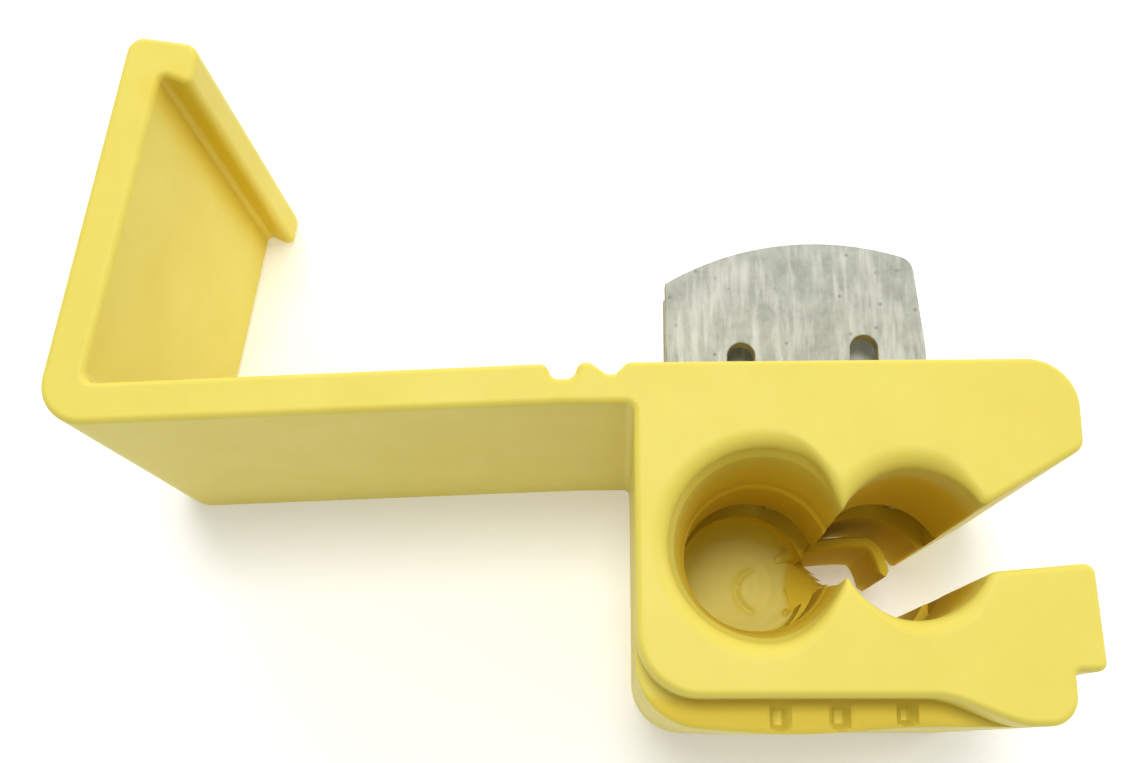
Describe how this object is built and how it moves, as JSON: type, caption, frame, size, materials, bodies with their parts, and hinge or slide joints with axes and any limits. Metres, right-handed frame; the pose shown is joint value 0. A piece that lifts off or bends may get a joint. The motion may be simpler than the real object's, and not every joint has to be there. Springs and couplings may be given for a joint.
{
  "type": "quick-splice wire connector",
  "caption": "Yellow self-stripping tap wire connector, open as supplied: moulded housing with two wire ports, hinged snap-down cover and raised U-shaped metal contact.",
  "frame": {"origin": "centre of the overall box in X and Y, on the back face that the connector lies on", "axes": "+X across the two ports from the tap port towards the open jaws, +Y the way the contact rises out of the housing, +Z along the wires from the back face to the front face"},
  "size_m": [0.0454, 0.0316, 0.0198],
  "materials": {
    "moulded_polypropylene": "satin moulded, slightly translucent",
    "tin_plated_brass": "dull tin plate with fine scratches and bare sheared edges"
  },
  "bodies": {
    "housing": {"housing": "moulded_polypropylene", "hinge_web_inner": "moulded_polypropylene"},
    "link": {"hinge_link": "moulded_polypropylene", "hinge_web_outer": "moulded_polypropylene"},
    "cover": {"cover_strap": "moulded_polypropylene", "corner_web": "moulded_polypropylene"},
    "flap": {"cover_flap": "moulded_polypropylene", "latch_lip": "moulded_polypropylene"},
    "contact": {"u_contact": "tin_plated_brass"},
    "finger": {"retaining_finger": "moulded_polypropylene"}
  },
  "joints": [
    {"name": "fold_inner", "type": "hinge", "parent": "housing", "child": "link", "pos_m": [0.00241, -0.00095, 0.0099], "axis": [0, 0, -1], "range_deg": [0, 90], "deforming": ["hinge_web_inner"]},
    {"name": "fold_outer", "type": "hinge", "parent": "link", "child": "cover", "pos_m": [0.00034, -0.00095, 0.0099], "axis": [0, 0, -1], "range_deg": [0, 92], "deforming": ["hinge_web_outer"]},
    {"name": "flap_flex", "type": "hinge", "parent": "cover", "child": "flap", "pos_m": [-0.02085, -0.00096, 0.0099], "axis": [0, 0, 1], "range_deg": [0, 11.5], "deforming": ["corner_web"]},
    {"name": "contact_press", "type": "slide", "parent": "housing", "child": "contact", "axis": [0, -1, 0], "range_m": [0, 0.0088]},
    {"name": "finger_flex", "type": "hinge", "parent": "housing", "child": "finger", "pos_m": [0.01272, -0.00639, 0.0037], "axis": [0, 0, 1], "range_deg": [-18, 6], "stiffness_Nm_per_rad": 0.0005}
  ],
  "couplings": [
    {"joint": "flap_flex", "follows": "fold_outer", "ratio": 0.12391},
    {"joint": "fold_inner", "follows": "contact_press", "rad_per_m": 178.49}
  ]
}
